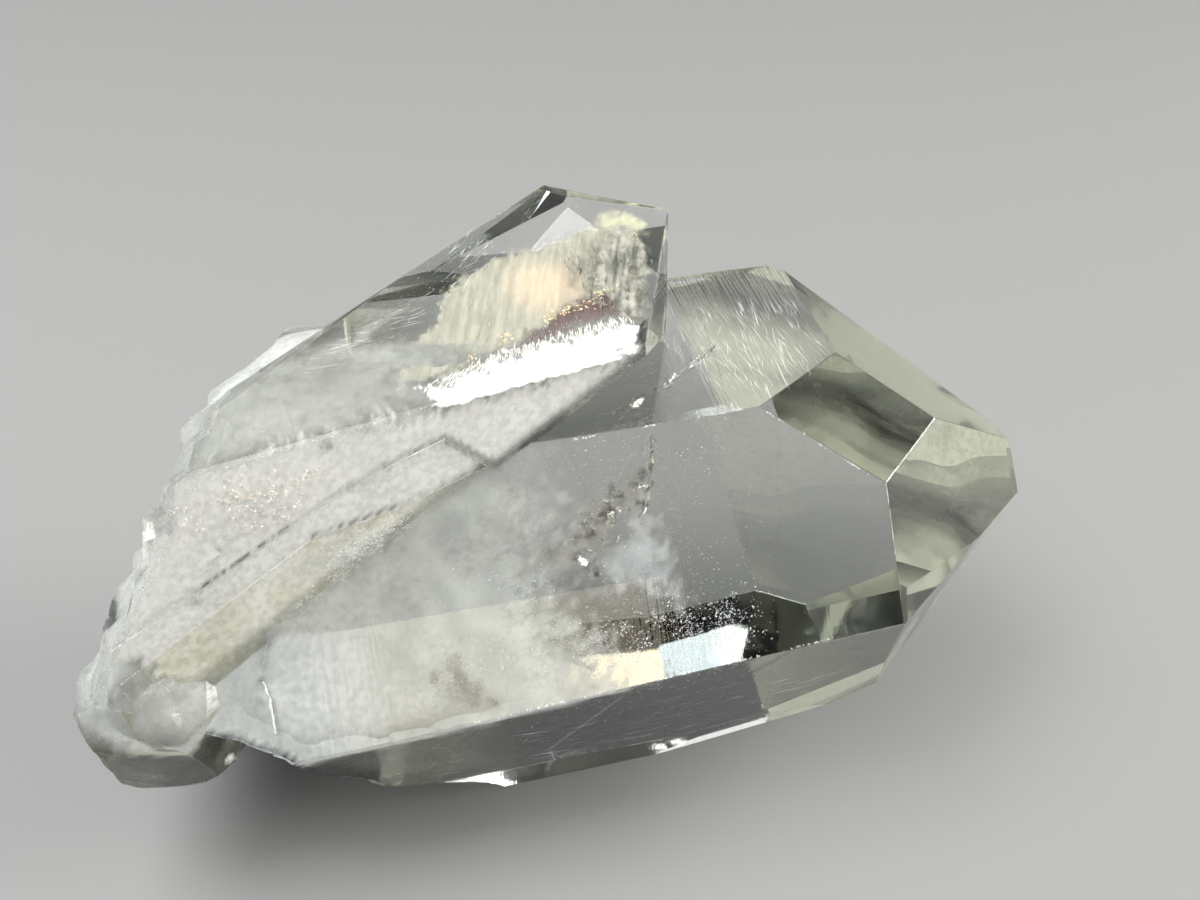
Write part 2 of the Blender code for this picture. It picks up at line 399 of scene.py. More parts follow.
def make_line_group():
    """Noise turned to a direction and drawn out along it, so that it makes lines or streaks."""
    inputs = (("Turn", (0.0, 0.0, 0.0)), ("Size", (1.0, 1.0, 1.0)))
    group, given, made = new_group("drawn_out_noise", inputs, (("Lines", "NodeSocketFloat"),))
    place = group.nodes.new("ShaderNodeTexCoord")
    turn = group.nodes.new("ShaderNodeMapping")
    turn.vector_type = "TEXTURE"
    lines = group.nodes.new("ShaderNodeTexNoise")
    lines.inputs["Scale"].default_value = 1.0
    lines.inputs["Detail"].default_value = 3.0
    group.links.new(place.outputs["Object"], turn.inputs["Vector"])
    group.links.new(given["Turn"], turn.inputs["Rotation"])
    group.links.new(given["Size"], turn.inputs["Scale"])
    group.links.new(turn.outputs["Vector"], lines.inputs["Vector"])
    group.links.new(lines.outputs["Fac"], made["Lines"])
    return group


CLOUD_GROUP, LINE_GROUP = make_cloud_group(), make_line_group()


def cloud(tree, features_per_metre, low=0.35, high=0.65, detail=4.0):
    values = {"Features per metre": features_per_metre, "Detail": detail, "Low": low, "High": high}
    return place_group(tree, CLOUD_GROUP, values, "Mask")


def drawn_lines(tree, turn, size):
    return place_group(tree, LINE_GROUP, {"Turn": turn, "Size": size}, "Lines")


def bump(tree, shader, height, strength, distance):
    node = tree.nodes.new("ShaderNodeBump")
    node.inputs["Strength"].default_value = strength
    node.inputs["Distance"].default_value = distance
    tree.links.new(height, node.inputs["Height"])
    tree.links.new(node.outputs["Normal"], shader.inputs["Normal"])


# %% [markdown]
# ## Clear quartz
#
# Quartz is glass with an index of refraction of 1.544, a shade more than window glass. Polished faces have no
# roughness, and broken or frosted ones scatter light. A path tracer finds the way from a lamp through glass only
# by luck, which is slow and noisy. So a second, see-through shader stands in for the glass on shadow rays: lamps
# then light the inclusions straight through the faces, and the stone still casts a partial shadow.

# %% Clear quartz material


# Short across the crystal's axis and long round it, so that fine parallel lines cross the prism faces.
GROWTH_TURN, GROWTH_SIZE = LARGE_PLACE.to_euler(), (7.0 * MM, 7.0 * MM, 0.16 * MM)
QUARTZ_IOR = 1.544
SHADOW_TONE, ABSORB_TONE, ABSORB_DENSITY = (0.86, 0.87, 0.87, 1.0), (0.80, 0.815, 0.79, 1.0), 60.0


def make_clear_quartz():
    material, nodes, links, glass = new_material("clear_quartz")
    tree = material.node_tree
    frost, rust_and_shade = attribute_value(tree, "frost"), attribute_value(tree, "rust_and_shade")
    grain = cloud(tree, 2600.0, 0.30, 0.75)
    rough = math_node(tree, "MULTIPLY", frost, math_node(tree, "ADD", math_node(tree, "MULTIPLY", grain, 0.35), 0.25))
    links.new(rough, glass.inputs["Roughness"])
    # Khaki round the knob: iron stain, and painted shade on its lower faces.
    stain_and_shade = math_node(tree, "MULTIPLY", rust_and_shade, cloud(tree, 420.0, 0.25, 0.7))
    links.new(blend_colours(tree, stain_and_shade, (1.0, 1.0, 1.0), (0.66, 0.62, 0.40)), glass.inputs["Base Color"])
    glass.inputs["IOR"].default_value = QUARTZ_IOR
    glass.inputs["Transmission Weight"].default_value = 1.0
    relief = math_node(tree, "MULTIPLY", cloud(tree, 1800.0, 0.2, 0.8, 5.0), frost)
    lines = math_node(tree, "MULTIPLY", drawn_lines(tree, GROWTH_TURN, GROWTH_SIZE), attribute_value(tree, "growth"))
    relief = math_node(tree, "ADD", relief, lines)
    bump(tree, glass, relief, 0.5, 0.00012)
    path = nodes.new("ShaderNodeLightPath")
    open_way = nodes.new("ShaderNodeBsdfTransparent")
    open_way.inputs["Color"].default_value = SHADOW_TONE
    mix = nodes.new("ShaderNodeMixShader")
    links.new(path.outputs["Is Shadow Ray"], mix.inputs["Fac"])
    links.new(glass.outputs["BSDF"], mix.inputs[1])
    links.new(open_way.outputs["BSDF"], mix.inputs[2])
    links.new(mix.outputs["Shader"], nodes["Material Output"].inputs["Surface"])
    absorb = nodes.new("ShaderNodeVolumeAbsorption")
    absorb.inputs["Color"].default_value = ABSORB_TONE
    absorb.inputs["Density"].default_value = ABSORB_DENSITY
    links.new(absorb.outputs["Volume"], nodes["Material Output"].inputs["Volume"])
    return material


quartz = make_clear_quartz()

# %% [markdown]
# ## The outer stone
#
# The solid model already has every face, growth ledge and shell-like scoop of the break. A copy of it becomes the
# glass. Its broken end is too smooth for real broken quartz, which has a sugary grain, so the facets there are
# subdivided, and their points are pushed in and out by a fine noise texture.

# %% Copy the solid
node = frame["nodes"]["quartz_crystal"]
only(node)
bpy.ops.object.duplicate()
body = bpy.context.active_object
body.name = body.data.name = "quartz_body"
bpy.ops.object.mode_set(mode="EDIT")
bpy.ops.mesh.select_all(action="SELECT")
bpy.ops.mesh.remove_doubles(threshold=1e-7)
bpy.ops.mesh.dissolve_limited(angle_limit=math.radians(0.5))
bpy.ops.object.mode_set(mode="OBJECT")
bpy.ops.object.shade_flat()
print("merged body:", len(body.data.vertices), "points,", len(body.data.polygons), "faces")

# %% Refine the broken surfaces
BREAK_FACE_AREA = 2.5 * MM * MM
BREAK_REACH = -3.0 * MM


def is_broken(polygon):
    return polygon.area < BREAK_FACE_AREA and polygon.center.x < BREAK_REACH


only(body)
bpy.ops.object.mode_set(mode="EDIT")
bpy.ops.mesh.select_all(action="DESELECT")
bpy.ops.object.mode_set(mode="OBJECT")
for polygon in body.data.polygons:
    polygon.select = is_broken(polygon)
broken_count = sum(polygon.select for polygon in body.data.polygons)
bpy.ops.object.mode_set(mode="EDIT")
bpy.ops.mesh.select_mode(type="FACE")
bpy.ops.mesh.subdivide(number_cuts=1)
bpy.ops.object.mode_set(mode="OBJECT")
print("broken facets:", broken_count, "now", len(body.data.polygons), "faces in all")


def displace(obj, name, size, strength, group=None):
    """Pushes points along their normals by a noise texture of this size, both in metres."""
    texture = bpy.data.textures.new(name, "CLOUDS")
    texture.noise_scale = size
    modifier = obj.modifiers.new(name, "DISPLACE")
    modifier.texture = texture
    modifier.texture_coords = "GLOBAL"
    modifier.strength = strength
    modifier.mid_level = 0.5
    if group:
        modifier.vertex_group = group


GRAIN_SIZE, GRAIN_HEIGHT = 0.9 * MM, 0.30 * MM
touching = [set() for _ in body.data.vertices]
for polygon in body.data.polygons:
    for index in polygon.vertices:
        touching[index].add(is_broken(polygon))
free = [index for index, kinds in enumerate(touching) if kinds == {True}]
body.vertex_groups.new(name="broken").add(free, 1.0, "REPLACE")
displace(body, "break_grain", GRAIN_SIZE, GRAIN_HEIGHT, "broken")
apply_modifiers(body)
print("points pushed by the grain:", len(free))

# %% [markdown]
# ## Worn edges
#
# No real edge is perfectly sharp, and a worn one shows as a thin bright line where it catches a lamp. A bevel less
# than a tenth of a millimetre wide does this. Only edges between two large faces that meet at a clear angle are
# worn, so each edge gets its own bevel weight.

# %% Wear the sharp edges
EDGE_WEAR, SHARP_ANGLE = 0.08, math.radians(18.0)
body_shape = bmesh.new()
body_shape.from_mesh(body.data)
weight = body_shape.edges.layers.float.new("bevel_weight_edge")
for edge in body_shape.edges:
    if len(edge.link_faces) == 2 and min(face.calc_area() for face in edge.link_faces) > BREAK_FACE_AREA:
        edge[weight] = float(edge.calc_face_angle() > SHARP_ANGLE)
body_shape.to_mesh(body.data)
body_shape.free()
worn = body.modifiers.new("worn_edges", "BEVEL")
worn.limit_method = "WEIGHT"
worn.width = EDGE_WEAR * MM
worn.segments = 2
apply_modifiers(body)
print(len(body.data.polygons), "faces with worn edges")

# %% [markdown]
# ## Frost, stain, painted shade and growth
#
# One glass covers the whole stone, because light loses count of what it is in where two glasses meet. What differs
# from face to face is stored on the faces instead: how frosted they are, how khaki, and how strong their growth
# lines are. The khaki is iron stain, and on the knob's lower faces it is painted shade as well. The material reads
# these three numbers.

# %% Mark what is frosted, stained and shaded
SMALL_FRONT_FROST, BREAK_FROST = 0.55, 0.9
TOP_GROWTH, PRISM_GROWTH = 0.2, 0.04
KNOB_REACH, CLEAR_START = 8.0, -12.0
SAME_WAY = 0.995


def frost_of(polygon):
    if is_broken(polygon):
        return BREAK_FROST
    return SMALL_FRONT_FROST if polygon.normal.dot(SMALL_FRONT.normal) > SAME_WAY else 0.0


def growth_of(polygon):
    if polygon.normal.dot(LARGE_TOP.normal) > SAME_WAY:
        return TOP_GROWTH
    on_prism = abs(polygon.normal.dot(LARGE_AXIS)) < 0.1 and polygon.center.x > CLEAR_START * MM
    return PRISM_GROWTH if on_prism else 0.0


def rust_and_shade_of(polygon):
    # Faces near the knob that look sideways or down: the iron stain there is partly painted shade.
    return float((polygon.center / MM - KNOB_CENTRE).length < KNOB_REACH and polygon.normal.z < 0.1)


for name, value_of in (("frost", frost_of), ("growth", growth_of), ("rust_and_shade", rust_and_shade_of)):
    values = [value_of(polygon) for polygon in body.data.polygons]
    store(body, name, values, "FACE")
    print(name, "on", sum(value > 0.0 for value in values), "faces")
carry(body, quartz)

# %% [markdown]
# ## Milky shells
#
# The cloud inside the stone has to look soft from every side. Here it is a nest of thin shells that follow the
# stone's own outline at growing depths. A voxel remesh gives each copy an even skin, Displace pulls it inwards,
# and each point keeps the cloudiness of its place as an attribute, which the material turns into opacity.

# %% Milk material
# The knob's khaki: iron stain, and painted shade on its lower side.
KHAKI_STAIN_AND_SHADE = (0.46, 0.43, 0.27)
MILK_INPUTS = (("Tint", (1.0, 1.0, 1.0, 1.0)), ("Shade", (1.0, 1.0, 1.0, 1.0)), ("Least", 0.55), ("Strength", 1.0))


def make_milk_group():
    """A cloudy tint, khaki for iron stain and painted shade, and an opacity that clouds and grain break up."""
    outputs = (("Colour", "NodeSocketColor"), ("Opacity", "NodeSocketFloat"))
    tree, given, made = new_group("milky_haze", MILK_INPUTS, outputs)
    tone = blend_colours(tree, cloud(tree, 260.0, 0.35, 0.65, 2.0), given["Tint"], given["Shade"])
    # Khaki round the knob: iron stain and painted shade.
    tree.links.new(blend_colours(tree, attribute_value(tree, "rust_and_shade"), tone, KHAKI_STAIN_AND_SHADE), made["Colour"])
    gaps = math_node(tree, "SUBTRACT", 1.0, given["Least"])
    clouds = math_node(tree, "MULTIPLY", cloud(tree, 330.0, 0.3, 0.7, 4.0), gaps)
    clouds = math_node(tree, "ADD", clouds, given["Least"])
    grain = math_node(tree, "ADD", math_node(tree, "MULTIPLY", cloud(tree, 2400.0, 0.3, 0.7, 1.0), 0.4), 0.72)
    solid = math_node(tree, "MULTIPLY", attribute_value(tree, "haze"), clouds)
    solid = math_node(tree, "MULTIPLY", solid, grain)
    tree.links.new(math_node(tree, "MULTIPLY", solid, given["Strength"]), made["Opacity"])
    return tree


MILK_GROUP = make_milk_group()


def make_milk(name, tint, strength, least=0.55):
    """A white that is as solid as the mesh's haze says, broken up by clouds. least is its solidity in their gaps."""
    material, nodes, links, shader = new_material(name)
    values = {"Tint": (*tint, 1.0), "Shade": (*[v * 0.93 for v in tint], 1.0), "Least": least, "Strength": strength}
    colour = place_group(material.node_tree, MILK_GROUP, values, "Colour")
    links.new(colour, shader.inputs["Base Color"])
    links.new(colour.node.outputs["Opacity"], shader.inputs["Alpha"])
    shader.inputs["Roughness"].default_value = 0.7
    shader.inputs["Specular IOR Level"].default_value = 0.2
    return material


milk = make_milk("milky_quartz", (0.64, 0.65, 0.61), 0.95)

# %% [markdown]
# ## Depth under the surface
#
# Whatever lies in the stone has to stay inside it. A search tree of the solid's triangles finds the surface
# nearest to any spot, and from that how deep the spot lies. Pieces fade out where the depth comes near to nothing.

# %% Depth under the surface
STONE = BVHTree.FromObject(node, bpy.context.evaluated_depsgraph_get())


def depth_inside(spot):
    """How far a spot, in millimetres, lies under the stone's surface. It is negative outside."""
    place, normal, _, _ = STONE.find_nearest(spot * MM)
    return (place - spot * MM).dot(normal) / MM


print("depth of the large crystal's middle", round(depth_inside(LARGE_PLACE.translation), 2))

# %% Build the shells
SHELL_DEPTHS = (0.45, 1.7, 3.4)
SHELL_VOXEL = 0.75
CLEAR_FROM = 12.0


def milky_shell(name, depth):
    only(node)
    bpy.ops.object.duplicate()
    shell = bpy.context.active_object
    shell.name = shell.data.name = name
    even = shell.modifiers.new("even", "REMESH")
    even.mode = "VOXEL"
    even.voxel_size = SHELL_VOXEL * MM
    inset = shell.modifiers.new("inset", "DISPLACE")
    inset.mid_level = 0.0
    inset.strength = -depth * MM
    again = shell.modifiers.new("again", "REMESH")
    again.mode = "VOXEL"
    again.voxel_size = SHELL_VOXEL * MM
    calm = shell.modifiers.new("calm", "SMOOTH")
    calm.factor = 0.5
    calm.iterations = 4
    apply_modifiers(shell)
    bpy.ops.object.mode_set(mode="EDIT")
    bpy.ops.mesh.select_all(action="SELECT")
    bpy.ops.mesh.bisect(plane_co=(CLEAR_FROM * MM, 0.0, 0.0), plane_no=(1.0, 0.0, 0.0), use_fill=True,
                        clear_outer=True)  # no cloud reaches past this plane, and the shells stay closed
    bpy.ops.object.mode_set(mode="OBJECT")
    spots = [vert.co / MM for vert in shell.data.vertices]
    store(shell, "haze", [milkiness(spot) * smooth(0.12, 0.42, depth_inside(spot)) for spot in spots])
    # Khaki of the knob, iron stain with painted shade, strongest at its lowest point.
    store(shell, "rust_and_shade", [knob_stain_and_shade(spot) for spot in spots])
    bpy.ops.object.shade_smooth()
    return carry(shell, milk)


for number, depth in enumerate(SHELL_DEPTHS):
    milky_shell("milky_shell_" + str(number + 1), depth)

# %% [markdown]
# ## Sheets inside the stone
#
# Much of what shows inside quartz is thin: healed cracks, veils of bubbles, films of other minerals. Each is a
# grid laid on a plane, made uneven with a noise texture, trimmed to its outline, and given a little thickness with
# Solidify so that it is closed. Its fade attribute lets it thin out towards its edge instead of ending in a line.

# %% Sheet helpers
LEAST_HAZE = 0.02


def laid_grid(name, origin, along, across, half_width, half_height, pitch):
    """A grid in metres on the plane of two directions, centred on origin. Sizes are in millimetres."""
    counts = [max(round(2 * half / pitch), 2) for half in (half_width, half_height)]
    bpy.ops.object.select_all(action="DESELECT")
    bpy.ops.mesh.primitive_grid_add(x_subdivisions=counts[0], y_subdivisions=counts[1], size=2.0)
    sheet = bpy.context.active_object
    sheet.name = sheet.data.name = name
    turn = Matrix((along, across, along.cross(across))).transposed().to_4x4()
    size = Matrix.Diagonal((half_width * MM, half_height * MM, 1.0, 1.0))
    sheet.matrix_world = Matrix.Translation(origin * MM) @ turn @ size
    bake_place(sheet)
    return sheet


def keep_faces(obj, wanted):
    """Deletes every face for which wanted is False."""
    only(obj)
    bpy.ops.object.mode_set(mode="EDIT")
    bpy.ops.mesh.select_mode(type="FACE")
    bpy.ops.mesh.select_all(action="DESELECT")
    bpy.ops.object.mode_set(mode="OBJECT")
    for polygon in obj.data.polygons:
        polygon.select = not wanted(polygon)
    bpy.ops.object.mode_set(mode="EDIT")
    bpy.ops.mesh.delete(type="FACE")
    bpy.ops.object.mode_set(mode="OBJECT")


def finish_sheet(sheet, fade, thickness, material):
    """Drops what has no fade, gives the sheet its thickness and stores the fade of each point."""
    values = [fade(vert.co / MM) for vert in sheet.data.vertices]
    keep_faces(sheet, lambda polygon: max(values[i] for i in polygon.vertices) > LEAST_HAZE)
    solid = sheet.modifiers.new("thickness", "SOLIDIFY")
    solid.thickness = thickness * MM
    solid.offset = 0.0
    apply_modifiers(sheet)
    store(sheet, "haze", [fade(vert.co / MM) for vert in sheet.data.vertices])
    only(sheet)
    bpy.ops.object.shade_smooth()
    return carry(sheet, material)


def outline_fade(face, outline, softness, ragged=0.0, seed=0.0):
    """1 well inside the outline on a face, 0 outside it, with a soft and ragged border."""
    corners = [Vector(corner) for corner in outline]
    offset = Vector((seed, 3.1 * seed, -seed))

    def fade(spot):
        local = spot - face.origin
        p = Vector((local.dot(face.along), local.dot(face.across)))
        inside, nearest = False, 1e9
        for a, b in zip(corners, corners[1:] + corners[:1]):
            if (a.y > p.y) != (b.y > p.y) and p.x < (b.x - a.x) * (p.y - a.y) / (b.y - a.y) + a.x:
                inside = not inside
            t = min(max((p - a).dot(b - a) / (b - a).length_squared, 0.0), 1.0)
            nearest = min(nearest, (a + (b - a) * t - p).length)
        border = nearest if inside else -nearest
        border += ragged * noise.fractal((spot + offset) * 1.4, 0.8, 2.1, 4)
        return smooth(0.0, softness, border)

    return fade


HUG_REACH = 1.6 * MM


def face_sheet(name, face, outline, depth, material, relief=0.3, relief_size=2.5, pitch=0.25,
               softness=0.6, ragged=0.5, tilt=(0.0, 0.0), thickness=0.03, seed=0.0, hug=False):
    """A sheet of this outline, in millimetres along and across a face, at a depth below it. With hug it follows
    the real surface of the small crystal under that face, ledges included, and stops at the large crystal."""
    xs, ys = [c[0] for c in outline], [c[1] for c in outline]
    middle = ((min(xs) + max(xs)) / 2, (min(ys) + max(ys)) / 2)
    along = (face.along - face.normal * tilt[0]).normalized()
    across = (face.across - face.normal * tilt[1])
    across = (across - along * across.dot(along)).normalized()
    halves = (max(xs) - min(xs)) / 2 + 0.6, (max(ys) - min(ys)) / 2 + 0.6
    sheet = laid_grid(name, face.spot(*middle, depth), along, across, *halves, pitch)
    displace(sheet, name + "_relief", relief_size * MM, relief * MM)
    apply_modifiers(sheet)
    if hug:
        for vert in sheet.data.vertices:
            hit = STONE.ray_cast(vert.co + face.normal * HUG_REACH, -face.normal, 2.0 * HUG_REACH)[0]
            if hit:
                vert.co = hit - face.normal * depth * MM
    border = outline_fade(face, outline, softness, ragged, seed)

    def fade(spot):
        above = smooth(-0.25, 0.15, -LARGE_FRONT.depth(spot)) if hug else 1.0
        return above * border(spot) * smooth(0.05, 0.3, depth_inside(spot))

    return finish_sheet(sheet, fade, thickness, material)


# %% [markdown]
# ## The milky heart of the base
#
# Seen from the tip, the clear part of the crystal acts as a mirror box, and what it mirrors is the milky base. So
# the cloud needs faces that look towards the tip as well. Uneven sheets across the crystal, more solid the nearer
# they are to the base, give the tip faces their cream colour. Each crystal has two.

# %% Cross sheets of the cloud
milk_wall = make_milk("milky_heart", (0.97, 0.95, 0.86), 1.0, 0.95)


def cross_sheet(name, place, axis, along, half, strength, tilt):
    """A sheet across a crystal, this far along its axis from its centre."""
    side = axis.orthogonal().normalized()
    lean = (axis + side * tilt).normalized()
    first = lean.orthogonal().normalized()
    sheet = laid_grid(name, place.translation + axis * along, first, lean.cross(first), half, half, 0.45)
    displace(sheet, name + "_relief", 11.0 * MM, 1.6 * MM)
    apply_modifiers(sheet)

    def fade(spot):
        inside = smooth(0.5, 2.5, depth_inside(spot))
        return 0.0 if inside <= 0.0 else inside * min(milkiness(spot) * strength, 1.0)

    return finish_sheet(sheet, fade, 0.05, milk_wall)


def heart(prefix, place, axis, half, sheets):
    """A few cross sheets of one crystal. Each is given by its place along the axis, its solidity and its tilt."""
    for number, (along, strength, tilt) in enumerate(sheets):
        cross_sheet(prefix + str(number + 1), place, axis, along, half, strength, tilt)


heart("milky_heart_", LARGE_PLACE, LARGE_AXIS, 16.0, ((-16.0, 1.8, -0.1), (-18.5, 2.0, 0.1)))

# %% [markdown]
# ## Milk under the front face
#
# The cloud is at its thickest just under the large front face, where it ends in wisps a third of the way along.
# The shells alone let the lamps' mirror images shine through there. A sheet of its own, denser than they are,
# covers them, and its wide, ragged border makes the wisps.

# %% Front face milk
FRONT_MILK = ((-34.0, -18.0), (-1.0, -18.0), (-0.5, -9.0), (-2.0, -6.0), (-4.5, -2.0), (-4.0, 2.0), (-6.0, 9.0),
              (-8.0, 16.0), (-34.0, 16.0))
front_milk = make_milk("front_face_milk", (0.50, 0.515, 0.48), 1.35, 0.72)
face_sheet("front_face_milk_sheet", LARGE_FRONT, FRONT_MILK, 0.7, front_milk, relief=0.9, relief_size=4.0,
           pitch=0.33, softness=5.5, ragged=2.2, seed=12.0)

# %% Cross sheets of the small crystal
heart("small_milky_heart_", SMALL_PLACE, SMALL_AXIS, 9.0, ((-17.0, 1.4, 0.1), (-21.0, 1.4, -0.2)))

# %% [markdown]
# ## Inside the small crystal
#
# Through the upper face of the small crystal shows a healed break: a cream, feathered surface with dark gaps on
# its right, whose dark is painted shade, a snow-white fluffy seam along its lower edge that is a painted
# reflection of the milky base, and a thin film that breaks light into gold.

# %% Small crystal materials


def make_feather(name, light, dark, warm, streaks):
    """A cream surface with streaks across the crystal, see-through in its gaps and peach where it is warm."""
    material, nodes, links, shader = new_material(name)
    tree = material.node_tree
    spread = nodes.new("ShaderNodeMapRange")
    spread.inputs["From Min"].default_value = 0.36
    spread.inputs["From Max"].default_value = 0.62
    links.new(drawn_lines(tree, *streaks), spread.inputs["Value"])
    mask = spread.outputs["Result"]
    colour = blend_colours(tree, mask, dark, light)
    links.new(blend_colours(tree, attribute_value(tree, "warm"), colour, warm), shader.inputs["Base Color"])
    shader.inputs["Roughness"].default_value = 0.6
    solid = math_node(tree, "ADD", math_node(tree, "MULTIPLY", mask, 0.25), 0.70)
    links.new(math_node(tree, "MULTIPLY", solid, attribute_value(tree, "haze")), shader.inputs["Alpha"])
    bump(tree, shader, mask, 0.35, 0.0001)
    return material


def stretch_along(face, along, across, length, width):
    """The turn and size that draw noise out along one direction on a face."""
    first = (face.along * along + face.across * across).normalized()
    second = face.normal.cross(first)
    turn = Matrix((first, second, face.normal)).transposed()
    return turn.to_euler(), (length * MM, width * MM, width * MM)


STREAKS = stretch_along(SMALL_UPPER, 0.62, 0.78, 2.8, 0.42)
feather = make_feather("feathered_break", (0.46, 0.445, 0.36), (0.36, 0.35, 0.28), (0.84, 0.66, 0.47), STREAKS)
# The dark tone is painted shade: it stands in for the dark that shows through the clear gaps of the break.
painted_shade_feather = make_feather("painted_shade_feather", (0.44, 0.43, 0.36), (0.10, 0.105, 0.09), (0.2, 0.2, 0.2), STREAKS)
# This white is the real white of the crack line in the large crystal, and the painted reflection of the seam.
snow_and_reflection = make_milk("white_seam_and_painted_reflection", (0.98, 0.98, 0.96), 1.0, 0.8)
straw = make_milk("straw_tinge", (0.72, 0.71, 0.48), 0.6)

# %% Small crystal sheets
HATCH = ((-10.2, -2.6), (-8.2, 0.3), (-5.5, 1.4), (-4.0, 3.3), (-1.6, 4.1), (1.0, 4.4), (4.5, 3.9), (7.4, 4.0),
         (9.0, 2.4), (7.7, -0.4), (5.2, -3.8), (2.6, -3.2), (0.3, -2.7), (-2.6, -3.0), (-5.8, -3.1), (-8.3, -3.0))
WARM_CENTRE = SMALL_UPPER.spot(1.4, 0.8, 1.2)
hatch = face_sheet("feathered_break_sheet", SMALL_UPPER, HATCH, 1.4, feather, relief=0.7, relief_size=1.9, pitch=0.17)
store(hatch, "warm", [0.75 * (1.0 - smooth(0.3, 3.2, (vert.co / MM - WARM_CENTRE).length))
                      for vert in hatch.data.vertices])
RIGHT_GAPS = ((3.9, 0.6), (5.4, 2.0), (7.0, 2.8), (8.8, 2.3), (8.3, 0.3), (4.7, -4.8), (3.7, -4.4), (3.4, -2.2))
face_sheet("painted_shade_feather_sheet", SMALL_UPPER, RIGHT_GAPS, 0.9, painted_shade_feather, relief=0.8, relief_size=0.9,
           pitch=0.17, softness=1.0, ragged=1.0, seed=3.0)
# The seam is a painted reflection: a white sheet where the milky base shows mirrored under the upper face.
SEAM_REFLECTION = ((-9.2, -3.8), (-6.3, -3.7), (-4.3, -3.5), (-1.6, -3.8), (1.2, -4.2), (3.7, -4.6), (3.6, -5.8), (1.5, -6.6),
        (-0.2, -7.1), (-2.6, -7.1), (-6.0, -6.6), (-8.6, -5.3))
face_sheet("snow_seam_painted_reflection", SMALL_UPPER, SEAM_REFLECTION, 0.5, snow_and_reflection, relief=0.5, relief_size=0.8, pitch=0.14, softness=0.3,
           ragged=0.8)
UPPER_MILK = ((-22.4, -3.1), (-20.0, -0.4), (-17.5, 1.5), (-13.0, 3.2), (-9.4, 2.9), (-7.6, 0.8), (-9.0, -2.0),
              (-9.0, -4.6), (-15.0, -4.2))
upper_milk = make_milk("upper_face_milk", (0.42, 0.42, 0.385), 0.5, 0.3)
face_sheet("upper_face_milk_sheet", SMALL_UPPER, UPPER_MILK, 1.1, upper_milk, relief=0.8, relief_size=3.0,
           softness=2.4, ragged=1.6, seed=6.0)
SATIN = ((-20.9, 7.6), (-9.4, 2.9), (3.2, -2.2), (2.4, -4.6), (-2.3, -5.6), (-8.6, -6.5), (-15.0, -6.8),
         (-21.0, -6.5), (-27.0, -5.5), (-29.3, 1.0), (-25.0, 4.5))
# Milky haze under the small front face, whiter than the milk elsewhere: part of that white is a painted reflection of
# the lamps.
satin_and_reflection = make_milk("satin_front_and_reflection", (0.97, 0.97, 0.94), 1.0, 0.88)
face_sheet("satin_front_sheet_and_reflection", SMALL_FRONT, SATIN, 0.35, satin_and_reflection, relief=0.2, relief_size=3.0, softness=0.8,
           ragged=0.8, seed=8.0, hug=True)
TIP_TINGE = ((5.3, 4.2), (8.1, 5.2), (10.2, 4.8), (10.8, 3.2), (9.4, 1.7), (8.2, 3.0))
face_sheet("straw_tinge_sheet", SMALL_UPPER, TIP_TINGE, 1.9, straw, softness=1.2, ragged=0.6)

# %% [markdown]
# ## Feather strokes
#
# The feathered break is built up of hundreds of tiny ridges side by side. One spindle is modelled once and copied
# with its own size and lean. All copies of a kind are then joined, so each kind is one piece.

# %% Stroke helper


def scatter_shapes(name, template, places, material):
    """Joins many copies of a small template mesh, each placed by its own matrix in millimetres."""
    points, faces = template
    verts, polygons = [], []
    for place in places:
        first = len(verts)
        verts.extend([(place @ Vector(point)) * MM for point in points])
        polygons.extend([tuple(first + i for i in face) for face in faces])
    mesh = bpy.data.meshes.new(name)
    mesh.from_pydata(verts, [], polygons)
    mesh.update()
    piece = bpy.data.objects.new(name, mesh)
    bpy.context.scene.collection.objects.link(piece)
    only(piece)
    bpy.ops.object.mode_set(mode="EDIT")
    bpy.ops.mesh.select_all(action="SELECT")
    bpy.ops.mesh.normals_make_consistent(inside=False)
    bpy.ops.object.mode_set(mode="OBJECT")
    return carry(piece, material)


SPINDLE = (
    ((-0.5, 0, 0), (0, -0.5, 0), (0, 0, 0.5), (0, 0.5, 0), (0, 0, -0.5), (0.5, 0, 0)),
    ((0, 1, 2), (0, 2, 3), (0, 3, 4), (0, 4, 1), (5, 2, 1), (5, 3, 2), (5, 4, 3), (5, 1, 4)),
)
FLAKE = (
    ((-0.5, -0.4, 0), (0.5, -0.3, 0.05), (0.0, 0.55, 0.0), (0.05, -0.05, 0.16)),
    ((0, 2, 1), (0, 1, 3), (1, 2, 3), (2, 0, 3)),
)


def face_place(face, along, across, depth, heading, size, lean=0.0):
    """A matrix that lays a shape on a face, turned to a heading in the face's directions."""
    first = (face.along * math.cos(heading) + face.across * math.sin(heading) + face.normal * lean).normalized()
    second = face.normal.cross(first).normalized()
    turn = Matrix((first, second, first.cross(second))).transposed().to_4x4()
    return Matrix.Translation(face.spot(along, across, depth)) @ turn @ Matrix.Diagonal((*size, 1.0))


def strokes_in(face, outline, count, depth, headings, lengths, widths, seed, lean=0.3):
    """Random strokes inside an outline, with headings that turn from one end to the other."""
    rng = random.Random(seed)
    inside = outline_fade(face, outline, 0.3)
    xs, ys = [c[0] for c in outline], [c[1] for c in outline]
    places = []
    while len(places) < count:
        along, across = rng.uniform(min(xs), max(xs)), rng.uniform(min(ys), max(ys))
        if inside(face.spot(along, across)) < rng.random():
            continue
        share = (along - min(xs)) / (max(xs) - min(xs))
        heading = math.radians(headings[0] + (headings[1] - headings[0]) * share + rng.gauss(0.0, 9.0))
        length = rng.uniform(*lengths)
        width = rng.uniform(*widths)
        size = (length, width, width * 0.6)
        places.append(face_place(face, along, across, depth + rng.uniform(-0.35, 0.35), heading, size,
                                 rng.uniform(-lean, lean)))
    return places


